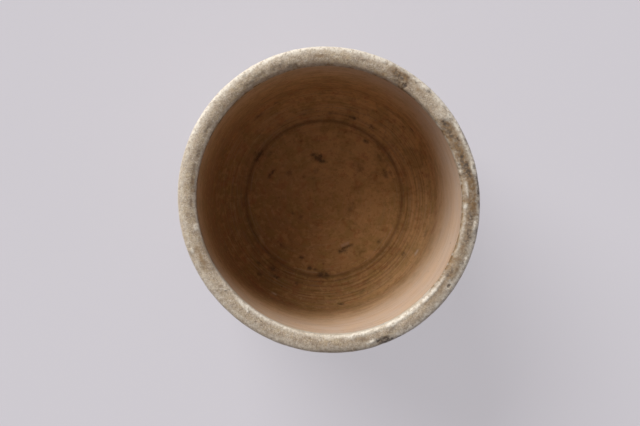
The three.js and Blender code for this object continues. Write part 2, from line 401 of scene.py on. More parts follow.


# Marks of age on the mouth, and rows of painted light: cream painted as a highlight along the outer edge,
# and rust painted as shade along the inner round. Each runs between two angles in degrees, lies so many
# millimetres out and up from the mouth's outer corner, and fades over a half width. Then come the height of
# its bead, or of a dent if negative, and its shares of soot, rust and cream. Shares that a row leaves out
# are none.
RIM_MARKS = (
    (-76, -46, -7.3, -0.6, 0.8, 0.3, 0, 0, 0.7),
    (-63, -54, -7, -0.5, 0.6, 0.15, 0, 0, 0.5),
    (-128, -78, -7.6, -0.7, 0.8, 0.2, 0, 0, 0.6),
    (-74, -71, -2.9, -0.5, 0.7, 0.35, 0, 0, 0.9),
    (-71, -67.5, -2.2, -0.5, 1.2, -0.5, 1.05, 0, -0.3),
    (-69.5, -65.5, -0.9, -0.8, 0.8, -0.4, 0.95, 0, -0.4),
    (-64.2, -62, -0.7, -1, 0.5, -0.3, 0.65),
    (-78.5, -76, -5, -0.5, 1, -0.1, 0.4, 0.3),
    (-92, -79, -1.6, -0.6, 1.3, 0, 0.25, 0.2),
    (-66, -63, -5.2, -0.5, 1, 0, 0.35),
    (-60, -38, -0.7, -1, 0.6, -0.1, 0.4, 0.1),
    (-45, -35.5, -6.8, -0.5, 0.6, 0.3, 0, 0, 0.6),
    (-36.7, -34.8, -2.8, -0.5, 1.2, 0.35, 0, 0, 0.85),
    (-36, -35.4, -3, -0.5, 0.6, -0.9, 1.3, 0, -1.2),
    (-37, 0, -7.9, -1, 0.6, -0.15, 0.15, 1.2),
    (-28, -25.5, -7.5, -0.8, 0.9, -0.2, 0.1, 0.9),
    (-33, -26, -3.6, -0.5, 1.4, 0, 0.25, 0.35),
    (-32.5, -29.5, -6, -0.5, 0.9, -0.1, 0.4, 0.1),
    (-25.6, -24.4, -2.2, -0.5, 0.6, -0.2, 0.45, 0.4),
    (-24.3, -23.2, -1.8, -0.5, 0.5, 0.2, 0, 0, 0.75),
    (-22, -15, -3.8, -0.5, 1.5, 0, 0.3, 0.2),
    (-14, -6, -4.3, -0.5, 1.6, 0, 0.55, 0.3),
    (-13.2, -11.5, -1.2, -0.6, 0.9, -0.2, 0.55),
    (-11.4, -9, -1.9, -0.5, 0.8, 0.3, 0, 0, 0.85),
    (-7.8, -6.4, -4.6, -0.5, 0.4, 0.15, 0, 0, 0.65),
    (-3, -2, -7, -0.5, 0.6, 0.3, 0, 0, 1),
    (-20, -6, -7, -0.5, 0.6, 0.1, 0, 0.1, 0.4),
    (-4, 9.5, -3, -0.5, 2, -0.1, 0.3, 1.2, -0.4),
    (3.5, 8.5, -0.9, -0.8, 0.6, -0.3, 0.75, 0.2, -0.3),
    (-3, -1, -0.8, -0.9, 0.5, -0.25, 0.6),
    (10.5, 13.8, -1.6, -0.6, 1.1, 0.25, 0, 0, 0.9),
    (12.6, 13.3, -1.3, -0.6, 0.4, -0.4, 0.9, 0, -0.9),
    (2, 7, -6.2, -0.5, 0.7, 0.2, 0, -0.2, 0.6),
    (11, 15, -4.2, -0.5, 1.5, -0.1, 0.65, 0.4, -0.2),
    (16.8, 18, -5.3, -0.5, 1, -0.2, 0.45, 0.2),
    (11.6, 12.8, -7.3, -0.6, 0.5, 0.25, 0, -0.2, 0.8),
    (14.2, 16.2, -7.4, -0.6, 0.5, 0.3, 0, -0.2, 0.8),
    (24.6, 25.5, -3.8, -0.5, 0.6, -0.4, 0.7, 0.3),
    (23, 28, -1.5, -0.6, 0.4, 0.15, 0, 0, 0.8),
    (23, 28, -0.7, -1, 0.5, -0.35, 0.5),
    (16, 32, -5.2, -0.5, 2.4, 0, 0.3, 0.75, -0.2),
    (28, 34.3, -6, -0.5, 1.6, -0.1, 0.4, 1.1),
    (33, 34.5, -5.3, -0.5, 0.8, -0.45, 0.6, 0.6),
    (35, 39, -4, -0.5, 1.9, 0.15, 0, -0.5, 0.45),
    (34.6, 39, -1.5, -0.6, 0.4, -0.2, 0.35, 0.3),
    (29, 31.5, -1.5, -0.6, 0.8, 0.1, 0, 0, 0.6),
    # Painted highlight: cream along the outer edge on the lamp's side, where the edge catches the light
    (46, 150, -0.8, -0.9, 0.9, 0, 0, 0, 0.9),
    (46.5, 47.5, -1.8, -0.5, 0.7, -0.35, 0.65, 0, -0.4),
    (53, 53.8, -2.6, -0.5, 0.6, -0.15, 0.45, 0.1),
    (49.5, 51.5, -4.5, -0.5, 0.9, 0, 0.1, 0.55),
    (57.5, 63.5, -3.4, -0.5, 2.1, -0.1, 0.5, 0.85, -0.5),
    (60, 62.5, -4.6, -0.5, 1.3, -0.1, 0.5, 0.3),
    (59, 62, -6.9, -0.5, 0.5, -0.2, 0.5, 0.2),
    (56.2, 57.4, -6.7, -0.5, 0.4, -0.3, 0.6, 0.1),
    (67.2, 68.2, -2.2, -0.5, 0.6, -0.2, 0.35, 0.5),
    (75.6, 76.4, -4.4, -0.5, 0.7, -0.2, 0.45, 0.3),
    (93, 95, -4.6, -0.5, 0.9, -0.1, 0.2, 0.6),
    (64, 134, -6.9, -0.5, 0.9, -0.05, 0.05, 0.25),
    (104, 107, -7, -0.5, 0.7, -0.15, 0.5, 0.2),
    (109, 114, -5.8, -0.5, 1, -0.1, 0.45, 0.2),
    (117.5, 121, -5.6, -0.5, 1, -0.1, 0.45, 0.2),
    (124, 124.8, -2.4, -0.5, 0.6, -0.15, 0.4, 0.3),
    (123, 127, -6.3, -0.5, 0.9, -0.1, 0.45, 0.1),
    (147.5, 151, -6.1, -0.5, 0.9, -0.15, 0.5, 0.2),
    (159, 161.5, -6.8, -0.5, 0.7, -0.15, 0.45, 0.4),
    (165.5, 169, -6.7, -0.5, 0.7, -0.15, 0.4, 0.5),
    (171.5, 176, -6.9, -0.5, 0.7, -0.15, 0.35, 0.6),
    (180, 184, -6.5, -0.5, 0.7, -0.1, 0.35, 0.2),
    # Rust stain and painted shade: rust brown along the inner round on the side that lies in shade
    (42, 138, -8.1, -2, 1.2, 0, 0, 0.75),
    (138, 206, -8.1, -2.6, 1.1, 0, 0.15, 0.95),
    (140, 192, -7.8, -0.9, 0.5, 0.2, 0, 0, 0.75),
    (190.8, 191.9, -6.8, -0.5, 0.7, 0.2, 0, 0, 0.8),
    (199.5, 200.6, -2.3, -0.5, 0.6, 0.2, 0, 0, 0.8),
    (200.8, 202.8, -1.8, -0.5, 1, -0.1, 0.25, 0.45),
    (200, 206, -4.6, -0.5, 1.3, 0, 0, 0.6),
    (206, 208.5, -3.8, -0.5, 1.1, 0, 0.2, 0.5),
    (227, 233, -7, -0.5, 0.6, 0.2, 0, 0, 0.7),
    (216, 246, -7.8, -0.9, 0.6, 0.15, 0, 0, 0.55),
    (-42, 18, -6, -0.5, 1.7, 0, 0.25, 0.5),
    # Painted highlight: cream along the outer edge on the side away from the lamp, brightening it as if lit
    (-62, 46, -0.6, -1.1, 1.3, 0, 0, 0, 1.1),
    (-180, 180, -1.9, -0.6, 1.3, 0, 0, 0, 0.36),
)
# Marks inside, in the same way, but out and up from the middle of the floor. One row paints pale clay
# beside a pit as its highlight.
FLOOR_MARKS = (
    (95.5, 101.5, 22.5, 0, 1.3, -0.25, 1.15),
    (91, 94, 20.5, 0, 0.7, -0.15, 0.8),
    (99, 107, 24.5, 0, 0.7, -0.15, 0.9),
    (85, 96, 20, 0, 0.6, -0.1, 0.8),
    (103, 107, 16, 0, 0.8, -0.15, 0.8),
    (151.5, 153.5, 31.3, 0, 0.9, -0.15, 0.8),
    (156.5, 158.5, 31.9, 0, 0.8, -0.15, 0.9),
    (114, 120, 12.5, 0, 0.7, -0.1, 0.55),
    (131, 133, 15.7, 0, 0.9, -0.1, 0.55),
    (141, 145, 23.3, 0, 1.5, -0.1, 0.55),
    (40, 46, 25.6, 0, 1.7, -0.1, 0.45),
    (53, 55, 38.4, 0, 0.9, -0.15, 0.8),
    (19, 25, 35.8, 0, 0.9, -0.15, 0.75),
    (20, 23, 38.7, 0, 0.8, -0.1, 0.55),
    (33, 38, 37.3, 0, 0.8, -0.1, 0.65),
    (139, 141, 37.8, 0, 1.1, -0.1, 0.45),
    (257, 259, 38.4, 0, 0.9, -0.2, 1.1),
    (262, 263, 38.5, 0, 0.8, -0.15, 0.9),
    (268.5, 273, 40.7, 0, 1.4, -0.25, 1),
    (248, 250, 34, 0, 1, -0.15, 0.8),
    (227, 229, 34, 0, 1, -0.1, 0.6),
    (203.5, 205.5, 18.7, 0, 0.8, -0.15, 0.65),
    (216, 218, 16.6, 0, 0.9, -0.15, 0.65),
    (321.5, 323.5, 37.8, 0, 0.9, -0.15, 0.75),
    (303, 306, 35.1, 0, 1, -0.1, 0.5),
    (287, 291.5, 29.6, 0, 1.1, -0.45, 1.1),
    (291, 301, 29.1, 0, 0.8, -0.45, 1),
    # Painted highlight: pale clay on the small raised lip beside the pit
    (291, 298, 27.2, 0, 0.9, 0.2, 0, 0, 0.35),
    (334, 346, 15.2, 0, 1.6, -0.2, 0.45),
    (55.9, 57, 46.4, 0.2, 0.9, -0.25, 1),
    (69, 72.5, 46.5, 0.2, 0.8, -0.15, 0.75),
    (76, 86, 46.5, 0.2, 0.6, -0.1, 0.5),
    (102.8, 104.2, 47, 0.4, 0.7, -0.15, 0.8),
    (116.5, 117.5, 57, 7.8, 1, -0.15, 0.75),
    (128, 129, 56.2, 6.6, 1.3, -0.15, 0.75),
    (38, 39, 58.7, 14, 1.1, -0.15, 0.7),
    (229, 230, 53.2, 3.3, 1, -0.15, 0.85),
    (238, 239, 49.1, 1, 1, -0.2, 1.1),
    (233, 234, 46.8, 0.3, 1, -0.15, 1),
    (223.5, 225, 49.3, 1.1, 0.8, -0.1, 0.6),
    (251.5, 252.5, 48, 0.7, 0.8, -0.1, 0.65),
    (277.5, 279.5, 56.4, 6.8, 0.9, -0.15, 0.75),
    (296.5, 297.5, 50.1, 1.4, 0.8, -0.1, 0.65),
    (291, 293, 53.2, 3.3, 1.1, -0.1, 0.5),
    (325, 326.2, 51.8, 2.3, 0.9, -0.2, 0.9),
    (340.5, 341.5, 57, 7.8, 1.1, -0.1, 0.6),
    (278.8, 280.2, 56.8, 7.5, 0.8, -0.25, 0.8),
    (329, 331, 56.9, 7.7, 0.7, 0.15, 0, 0, 0.95),
    (241.5, 242.5, 57.3, 8.3, 0.8, 0.15, 0, 0, 0.9),
    (143, 150, 42, 0, 1.1, -0.1, 0.15, 0.45),
    (-180, 180, 42.1, 0, 1.1, 0, 0, 0.55),
    (-180, 180, 46.4, 0.2, 0.7, 0, 0, 0.12),
)
# Grooves left by fingertips on the curve of the floor: radius, depth and half width in millimetres, and how
# much dirt and painted shade lies in them
FINGER_GROOVES = (
    (45.1, 0.3, 0.45, 0.46),
    (47.5, 0.28, 0.4, 0.32),
    (49.9, 0.3, 0.4, 0.36),
    (51.4, 0.22, 0.35, 0.28),
    (52.7, 0.24, 0.35, 0.32),
    (53.9, 0.22, 0.35, 0.26),
    (55.6, 0.16, 0.4, 0.14),
)
# The grooves are deepest on this side, in degrees from +X
GROOVED_SIDE = 290


# Layers as above that make the edges of the marks ragged. They hasten or slow a mark's fading, to this
# share of it at least.
RAGGED_LUMPS = ((0.7, 1.2, 2), (0.8, 5))
LEAST_FADE = 0.15
# A mark fades away at its ends over this share of its length, but over this distance at most
END_SHARE = 0.2
LONGEST_END = 8 * MM


def mark_amounts(points, shape):
    """What the marks add at each vertex: a bead or dent in millimetres, then soot, rust and cream."""
    total = np.zeros((4, len(points.at)))
    ragged = np.clip(1 + layered(lumps, points.at, RAGGED_LUMPS), LEAST_FADE, None)
    corner = (shape.mouth + shape.coat, shape.top + shape.coat)
    places = [(corner, RIM_MARKS), ((0, shape.floor), FLOOR_MARKS)]
    for (radius, height), marks in places:
        for start, end, out, up, half_width, *amounts in marks:
            along = angle_away(points.theta, start, end) * points.radius
            across = np.hypot(points.radius - radius - out * MM, points.height - height - up * MM)
            stretch = math.radians(end - start) * (radius + out * MM)
            ends = max(half_width * MM, min(END_SHARE * stretch, LONGEST_END))
            fade = (across / (half_width * MM)) ** 2 + (along / ends) ** 2
            amounts += [0] * (len(total) - len(amounts))
            total += np.outer(amounts, np.exp(-fade * ragged))
    return total


def sculpt(made, outline, shape, lift):
    """Moves a turned surface along its normals, stains it and warps the mouth. The lift is a function that
    gives each vertex its height in millimetres and a further share of rust."""
    points = TurnedPoints(made.data, outline)
    relief, soot, rust, cream = mark_amounts(points, shape)
    heights, more_rust = lift(points, relief, shape)
    radius = points.radius + MM * heights * points.normals[:, 0]
    height = points.height + MM * heights * points.normals[:, 1]
    share = np.clip((height - shape.warp_start) / (bowl_high.z - shape.warp_start), 0, None)
    radius *= 1 + shape.warp * share * np.cos(2 * (points.theta - shape.warp_direction))
    turned = (radius * np.cos(points.theta), radius * np.sin(points.theta), height)
    set_coordinates(made.data, np.column_stack(turned))
    store_stains(made.data, soot, rust + more_rust, cream)
    return made


# The bowl


# How far the outline of the mouth runs down inside, and how much it closes in on the way
LIP_DEPTH = 4 * MM
LIP_LEAN = 0.1 * MM
# The band's lower edge is rounded by this radius
BAND_NOSE = 0.9 * MM
# The clay's unevenness begins this far from the seam round the floor disc, and is full this far from it
SEAM_FADE = (1 * MM, 5 * MM)


class BowlShape:
    """Heights and radii of the clay, which follow from the bowl's sizes and the glaze over it."""

    def __init__(self, sizes, glaze):
        coat = glaze.thickness
        self.coat = coat
        self.underside = bowl_low.z
        self.floor = disc_high.z
        self.top = bowl_high.z - coat - sizes.rim_dome
        self.mouth = sizes.mouth_radius - coat
        self.inner_mouth = sizes.mouth_radius - sizes.rim_width + coat
        self.outer_round = sizes.rim_outer_round - coat
        self.inner_round = sizes.rim_inner_round - coat
        self.rim_dome = sizes.rim_dome
        self.band_fillet = sizes.band_step - BAND_NOSE
        self.band_foot = bowl_high.z - sizes.band_height
        self.coat_seam = self.band_foot - self.band_fillet - BAND_NOSE
        self.wall_top = sizes.mouth_radius - sizes.band_step - coat
        self.wall_foot = sizes.wall_foot_radius - coat
        self.wall_foot_height = self.underside + sizes.outer_corner
        self.corner = sizes.outer_corner - coat
        self.inner_wall_foot = sizes.wall_foot_radius - sizes.wall_foot_thickness
        self.inner_corner = sizes.inner_corner
        self.flat_floor = self.inner_wall_foot - sizes.inner_corner
        self.disc = (disc_high.x - disc_low.x) / 2
        self.bore = self.disc - sizes.seat_width
        low_pair = self.wall_foot_height + sizes.low_pair_rise
        top_pair = self.band_foot - sizes.top_pair_drop
        pairs = (low_pair, (low_pair + top_pair) / 2, top_pair)
        self.ribs = [pair + side * sizes.rib_spacing / 2 for pair in pairs for side in (-1, 1)]
        self.rib_stand = sizes.rib_stand
        self.rib_half_width = sizes.rib_half_width
        self.warp = sizes.warp
        self.warp_direction = sizes.warp_direction
        self.warp_start = sizes.warp_start

    def draw_wall(self, outline, corner_spacing, wall_spacing):
        """Adds the outside, from the underside round the lower corner and up to the band."""
        centre = (self.wall_foot - self.corner, self.wall_foot_height)
        outline.add("corner", arc(centre, self.corner, -90, 0, corner_spacing))
        end = (self.wall_top, self.coat_seam)
        outline.add("outer_wall", line((self.wall_foot, centre[1]), end, wall_spacing))

    def draw_mouth(self, outline, spacing):
        """Adds the mouth, from the wall under its band over the rim to a little way down inside."""
        fillet = (self.wall_top + self.band_fillet, self.coat_seam)
        outline.add("band_foot", arc(fillet, self.band_fillet, 180, 90, spacing))
        nose = (self.mouth - BAND_NOSE, self.band_foot)
        outline.add("band_foot", arc(nose, BAND_NOSE, -90, 0, spacing))
        shoulder = (self.mouth - self.outer_round, self.top - self.outer_round)
        outline.add("band", line((self.mouth, self.band_foot), (self.mouth, shoulder[1]), spacing))
        outline.add("outer_round", arc(shoulder, self.outer_round, 0, 90, spacing))
        inner = (self.inner_mouth + self.inner_round, self.top - self.inner_round)
        outline.add("rim_top", line((shoulder[0], self.top), (inner[0], self.top), spacing))
        outline.add("inner_round", arc(inner, self.inner_round, 90, 180, spacing))
        lip = (self.inner_mouth - LIP_LEAN, self.top - LIP_DEPTH)
        outline.add("inner_lip", line((self.inner_mouth, inner[1]), lip, spacing))

    def rib_swell(self, points):
        """How far up a turned rib each vertex of the outer wall lies, from 0 to 1."""
        swell = sum(np.exp(-(((points.height - rib) / self.rib_half_width) ** 2)) for rib in self.ribs)
        return swell * points.on("outer_wall")

    def away_from_seam(self, points):
        """0 at the seam round the floor disc, where both sides lie level, and 1 some millimetres off it."""
        return smooth(*SEAM_FADE, np.abs(points.radius - self.disc))

    def depth_in_clay(self, radius, height):
        """How deep points near the lower corner lie inside the outer surface."""
        out = radius - (self.wall_foot - self.corner)
        down = self.wall_foot_height - height
        rounded = np.hypot(np.maximum(out, 0), np.maximum(down, 0))
        return self.corner - rounded - np.minimum(np.maximum(out, down), 0)


# How far a finger groove wanders in and out. From its deep side to the opposite one it loses twice this
# share of its depth.
GROOVE_WANDER = 0.3 * MM
GROOVE_SWING = 0.45
# A dent in the glaze goes on into the clay under it, deeper by this factor
DENT_GROWTH = 1.2


def lift_bowl(points, marks, shape):
    """Lifts the clay: wheel lines and finger grooves inside, and dents that reach down through the glaze.
    Dirt and painted shade lie in the grooves."""
    inside = points.on("inner_wall", "curve", "ledge")
    lines = layered(wheel_lines, points, WALL_LINES) + layered(lumps, points.at, WALL_LUMPS)
    lines *= shape.away_from_seam(points)
    curve = points.on("curve")
    dirt = np.zeros(len(points.at))
    for radius, depth, half_width, share in FINGER_GROOVES:
        wander = GROOVE_WANDER * np.sin(points.theta * 2 + radius)
        cut = curve * np.exp(-(((points.radius - radius * MM - wander) / (half_width * MM)) ** 2))
        cut *= 1 - GROOVE_SWING + GROOVE_SWING * np.cos(points.theta - math.radians(GROOVED_SIDE))
        lines -= depth * cut
        dirt += share * cut
    ribs = shape.rib_stand / MM * shape.rib_swell(points)
    under_glaze = DENT_GROWTH * np.minimum(marks, 0)
    return ribs + inside * (lines + marks) + (1 - inside) * under_glaze, dirt


def lift_disc(points, marks, shape):
    """Lifts the floor disc's top: wheel lines, pits and uneven patches."""
    lines = layered(wheel_lines, points, DISC_LINES) + layered(lumps, points.at, DISC_LUMPS)
    return points.on("top") * (shape.away_from_seam(points) * lines + marks), 0


# From this share of a rib's swell on, the glaze over it is thin and shows rust in lumps of this size
THIN_FROM = 0.45
THIN_SIZE = 5 * MM


def lift_glaze(points, marks, shape):
    """Lifts a coat of glaze off the clay, with its dome over the rim, its pools round the feet and its
    rolled edges. Rust shows where it is thin over the ribs."""
    top = points.on("rim_top", "outer_round", "inner_round")
    body = shape.coat / MM + layered(lumps, points.at, GLAZE_LUMPS)
    body += top * layered(lumps, points.at, RIM_LUMPS)
    middle = (shape.mouth + shape.inner_mouth) / 2
    across = (points.radius - middle) / (shape.mouth - middle)
    body += top * shape.rim_dome / MM * np.clip(1 - across**2, 0, 1)
    swell = shape.rib_swell(points)
    body += shape.rib_stand / MM * swell + pooled_at_feet(points)
    thin = np.clip(swell - THIN_FROM, 0, 1) * (0.5 + 0.5 * lumps(points.at, THIN_SIZE, octaves=2))
    skin = 1 - points.on("buried")
    return skin * (roll_edges(shape, points, body) + np.clip(marks, -1, 1)), skin * np.clip(thin, 0, 1)


# Glaze pooled round the heads of the feet: its height in millimetres, the distance from them over which
# it fades away, and how far above them it ends
POOL_HEIGHT = 0.7
POOL_REACH = 1.2 * MM
POOL_END = 4 * MM


def pooled_at_feet(points):
    """Glaze that ran together round the heads of the feet, in millimetres."""
    sizes = bpy.context.scene.burner_foot
    low = points.height < foot_high.z + POOL_END
    pooled = np.zeros(len(points.at))
    for node in FOOT_NODES:
        middle = math.degrees(foot_angle(node))
        side = angle_away(points.theta, middle, middle) * points.radius
        outside = np.clip(-inside_foot(sizes, side, points.height), 0, None)
        pooled += POOL_HEIGHT * np.exp(-((outside / POOL_REACH) ** 2))
    return low * pooled


# How far down inside the mouth the glaze ran, how much less between two angles, over how many degrees that
# fades, and how much its edge wanders. Lengths without a unit are in millimetres, here and below.
LIP_RUN = 2.7
LESS_RUN = 1.2
SHORT_COAT = (-38, 33)
SHORT_FADE = 4
LIP_WANDER = 0.7
# How far above the underside the glaze ends outside, and how much that edge wanders
LOW_EDGE = 3.4
LOW_WANDER = 1.5
# The edges wander in waves of about this many radians
WANDER_WAVE = 0.22
# The edge inside the mouth lies within this distance of the clay's inner lip
LIP_BAND = 0.5 * MM
# The bead along an edge: its height, how far it lies from the edge and its half width
BEAD_HEIGHT = 0.22
BEAD_PLACE = 0.6 * MM
BEAD_HALF_WIDTH = 0.5 * MM
# The glaze rises out of the clay between these distances from its edge. Beyond it lies this deep.
RISE = (-0.25 * MM, 0.35 * MM)
DIVE = 0.35


def roll_edges(shape, points, body):
    """Ends the glaze in a rolled bead, inside the mouth and above the lower corner. Past its edge it dives
    under the clay."""
    ring = np.column_stack([np.cos(points.theta), np.sin(points.theta), np.zeros(len(points.theta))])
    wander = lumps(ring, WANDER_WAVE, octaves=2)
    short = np.exp(-((angle_away(points.theta, *SHORT_COAT) / math.radians(SHORT_FADE)) ** 2))
    lip_edge = shape.top - (LIP_RUN - LESS_RUN * short + LIP_WANDER * wander) * MM
    low_edge = shape.underside + (LOW_EDGE + LOW_WANDER * wander) * MM
    inside = points.radius < shape.inner_mouth + LIP_BAND
    above = points.height - np.where(inside, lip_edge, low_edge)
    bead = BEAD_HEIGHT * np.exp(-(((above - BEAD_PLACE) / BEAD_HALF_WIDTH) ** 2))
    shown = smooth(*RISE, above)
    return (body + bead) * shown - DIVE * (1 - shown)


# Materials

TIMES = {"operation": "MULTIPLY"}
SCALED = {"operation": "SCALE"}
PLUS = {"operation": "ADD"}
MINUS = {"operation": "SUBTRACT"}
DOT = {"operation": "DOT_PRODUCT"}
LARGER = {"operation": "MAXIMUM"}
SMOOTH_STEP = {"interpolation_type": "SMOOTHSTEP"}


def add(tree, kind, inputs, settings=None, output=0):
    """Adds a node with its inputs, each a value or another node's output, and its settings. Gives one
    of its outputs, or the node itself if none is asked for."""
    made = tree.nodes.new("ShaderNode" + kind)
    for name, value in (settings or {}).items():
        setattr(made, name, value)
    for socket, value in inputs.items():
        if isinstance(value, bpy.types.NodeSocket):
            tree.links.new(value, made.inputs[socket])
        else:
            made.inputs[socket].default_value = value
    return made if output is None else made.outputs[output]


def opaque(rgb):
    return (*rgb, 1.0)


# To the marks of turning, the way round the wheel is as short as round a circle of this radius
ROUND_RADIUS = 4 * MM


class Finish:
    """A material in the making, with the places and stains that it is drawn from."""

    def __init__(self, name):
        self.material = bpy.data.materials.new(name)
        self.material.use_nodes = True
        self.tree = self.material.node_tree
        self.tree.nodes.clear()
        self.at = add(self.tree, "TexCoord", {}, output="Object")
        self.height = add(self.tree, "SeparateXYZ", {0: self.at}, output="Z")
        stains = add(self.tree, "Attribute", {}, {"attribute_name": "stains"}, "Color")
        parts = add(self.tree, "SeparateColor", {0: stains}, output=None).outputs
        self.soot, self.rust, self.cream = parts[0], parts[1], parts[2]

    def wheel_place(self):
        """A place that runs slowly round the wheel and fast across it, for marks that the turning drew out,
        and the distance from the wheel's axis."""
        flat = add(self.tree, "VectorMath", {0: self.at, 1: (1, 1, 0)}, TIMES)
        radius = add(self.tree, "VectorMath", {0: flat}, {"operation": "LENGTH"}, "Value")
        across = add(self.tree, "Math", {0: radius, 1: self.height}, PLUS)
        way = add(self.tree, "VectorMath", {0: flat}, {"operation": "NORMALIZE"})
        slow = add(self.tree, "VectorMath", {0: way, "Scale": ROUND_RADIUS}, SCALED)
        climb = add(self.tree, "Math", {0: across, 1: CLIMB}, TIMES)
        turned = {"Vector": slow, "Angle": climb}
        slow = add(self.tree, "VectorRotate", turned, {"rotation_type": "Z_AXIS"})
        fast = add(self.tree, "CombineXYZ", {"Z": across})
        return add(self.tree, "VectorMath", {0: slow, 1: fast}, PLUS), radius

    def patches(self, at, size, low, high, most, within=1.0):
        """The share of soft-edged patches of about this size: none where the noise is under low, the most
        where it is over high, and all times the share of what they lie within."""
        grain = {"Vector": at, "Scale": 1 / size, "Detail": 3.0, "Roughness": 0.6}
        cloud = add(self.tree, "TexNoise", grain)
        limits = {"Value": cloud, "From Min": low, "From Max": high, "To Max": most}
        share = add(self.tree, "MapRange", limits, SMOOTH_STEP)
        return add(self.tree, "Math", {0: share, 1: within}, TIMES)

    def specks(self, spacing, reach, most, within=1.0):
        """The share of soft round specks, at most one to a cell of this spacing, each of its own size."""
        cells = add(self.tree, "TexVoronoi", {"Vector": self.at, "Scale": 1 / spacing}, output=None).outputs
        chance = add(self.tree, "SeparateColor", {0: cells["Color"]})
        sizes = {"Value": chance, "From Min": 0.35, "To Max": reach / spacing}
        edge = add(self.tree, "MapRange", sizes)
        limits = {"Value": cells["Distance"], "From Min": edge, "From Max": 0.0, "To Max": most}
        share = add(self.tree, "MapRange", limits, SMOOTH_STEP)
        return add(self.tree, "Math", {0: share, 1: within}, TIMES)

    def bent(self, size, most):
        """The place, bent to and fro over this distance by at most this much."""
        bends = add(self.tree, "TexNoise", {"Vector": self.at, "Scale": 1 / size}, output="Color")
        centred = add(self.tree, "VectorMath", {0: bends, 1: (0.5, 0.5, 0.5)}, MINUS)
        moved = add(self.tree, "VectorMath", {0: centred, "Scale": 2 * most}, SCALED)
        return add(self.tree, "VectorMath", {0: self.at, 1: moved}, PLUS)

    def cracks(self, at, size, width, most, within):
        """The share of a net of cracks of this width, round cells of this size."""
        cells = {"Vector": at, "Scale": 1 / size}
        edges = add(self.tree, "TexVoronoi", cells, {"feature": "DISTANCE_TO_EDGE"})
        limits = {"Value": edges, "From Min": width / size, "From Max": 0.0, "To Max": most}
        share = add(self.tree, "MapRange", limits, SMOOTH_STEP)
        return add(self.tree, "Math", {0: share, 1: within}, TIMES)

    def gathered(self, amount, size, most, least=0.25):
        """Breaks a soft stain up into blots and specks of about this size, as dirt gathers in the grain.
        Where there is least dirt, this share of the stain stays."""
        grain = {"Vector": self.at, "Scale": 1 / size, "Detail": 4.0, "Roughness": 0.65}
        dust = add(self.tree, "TexNoise", grain)
        limits = {"Value": dust, "From Min": 0.38, "From Max": 0.62, "To Min": least, "To Max": 1.45}
        dirt = add(self.tree, "MapRange", limits)
        share = add(self.tree, "Math", {0: amount, 1: dirt}, {**TIMES, "use_clamp": True})
        return add(self.tree, "Math", {0: share, 1: most}, TIMES)

    def lay(self, base, *coats):
        """Lays colours over a base, one after another, each where its share says."""
        for share, rgb in coats:
            mix = {"data_type": "RGBA"}
            base = add(self.tree, "Mix", {0: share, 6: base, 7: opaque(rgb)}, mix, 2)
        return base

    def end(self, base, roughness, height, distance):
        """Ends the material in one shader whose fine relief comes from a height."""
        normal = add(self.tree, "Bump", {"Height": height, "Distance": distance})
        surface = {"Base Color": base, "Roughness": roughness, "Normal": normal}
        shader = add(self.tree, "BsdfPrincipled", surface)
        add(self.tree, "OutputMaterial", {"Surface": shader}, output=None)
        return self.material


